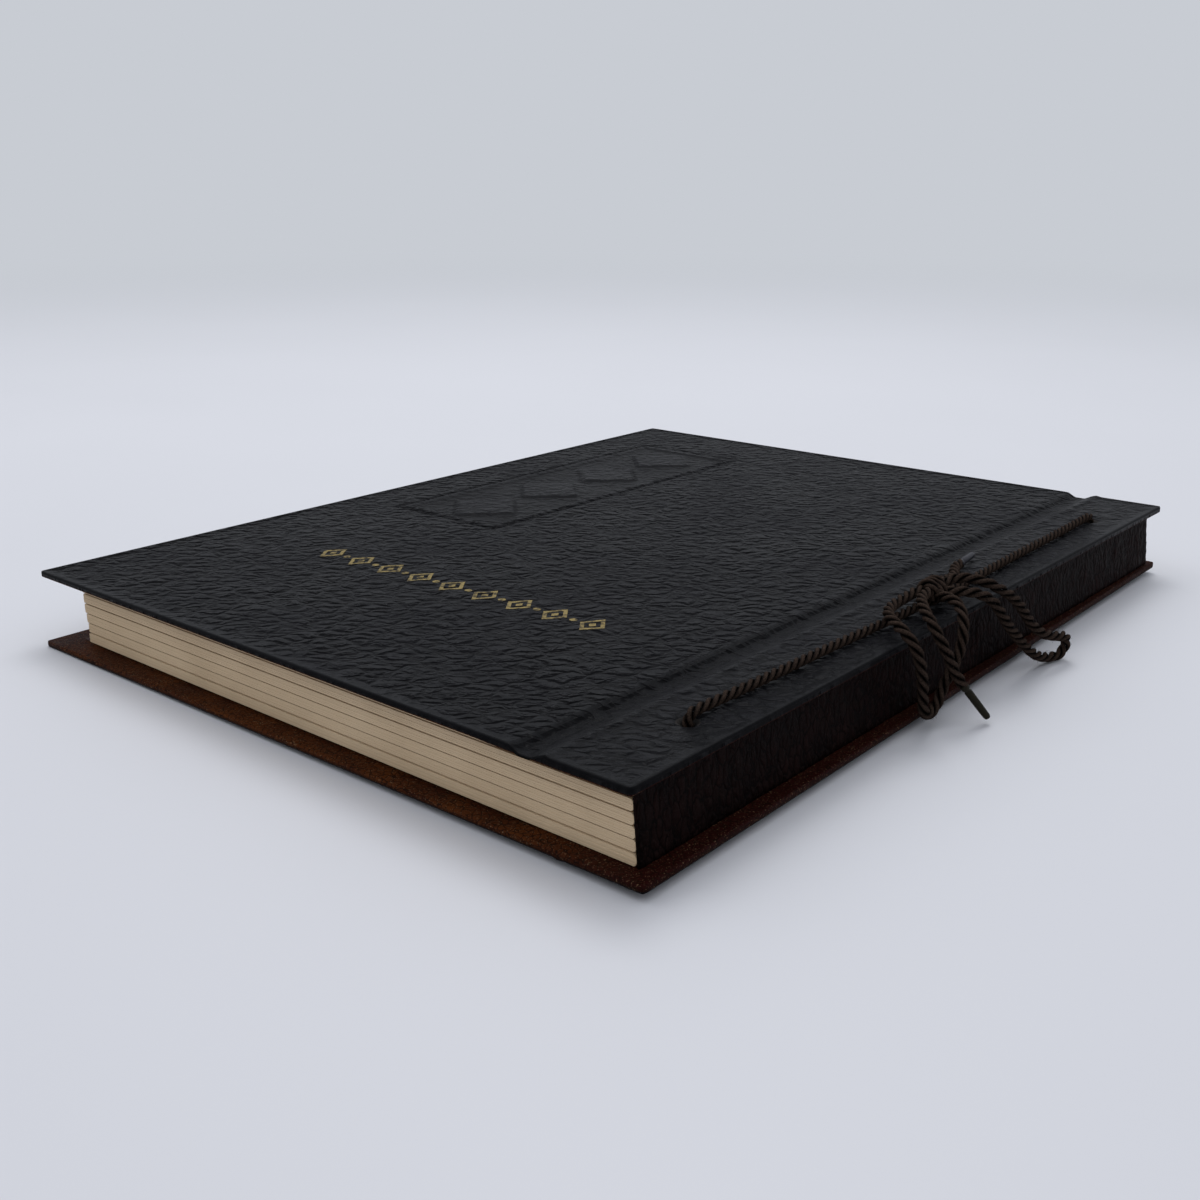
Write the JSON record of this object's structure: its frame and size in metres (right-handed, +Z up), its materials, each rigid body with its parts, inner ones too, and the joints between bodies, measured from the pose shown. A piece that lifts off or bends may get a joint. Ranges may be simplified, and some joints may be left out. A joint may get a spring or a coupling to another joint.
{
  "type": "laced album book",
  "caption": "Laced album book lying flat: leather covers with hinge grooves, sewn sections under a leather spine, and a twisted cord laced through and tied in a bow at the spine.",
  "frame": {"origin": "middle of the book's box, on the surface it lies on; the bow's free cord isn't counted", "axes": "+X towards the spine, +Y from head to tail, +Z up, with the front cover on top"},
  "size_m": [0.2381, 0.2894, 0.0316],
  "materials": {
    "cover_leather": "satin pebble grain",
    "spine_leather": "satin, finely wrinkled",
    "lining_paper": "matte",
    "pages": "matte",
    "cord": "twisted, matte",
    "cord_tips": "dull"
  },
  "bodies": {
    "bound_block": {"text_block": "pages", "spine_wrap": "spine_leather", "front_hinge_strip": "cover_leather", "front_hinge_leather": "cover_leather", "back_hinge_strip": "cover_leather", "back_hinge_leather": "cover_leather", "lacing_head_run": "cord", "lacing_tail_run": "cord", "lacing_back_run": "cord", "bow_knot": "cord", "bow_loop_head": "cord", "bow_loop_tail": "cord", "cord_end_head": "cord", "cord_end_tail": "cord", "cord_tip_head": "cord_tips", "cord_tip_tail": "cord_tips"},
    "front_cover": {"front_cover_panel": "cover_leather", "front_cover_lining": "lining_paper"},
    "back_cover": {"back_cover_panel": "cover_leather", "back_cover_lining": "lining_paper"}
  },
  "joints": [
    {"name": "front_cover_hinge", "type": "hinge", "parent": "bound_block", "child": "front_cover", "pos_m": [0.08155, 0.0012, 0.02357], "axis": [0, 1, 0], "range_deg": [0, 150]},
    {"name": "back_cover_hinge", "type": "hinge", "parent": "bound_block", "child": "back_cover", "pos_m": [0.08333, 0.00094, 0.00168], "axis": [0.0113, -0.9999, 0.0001], "range_deg": [0, 150]}
  ]
}
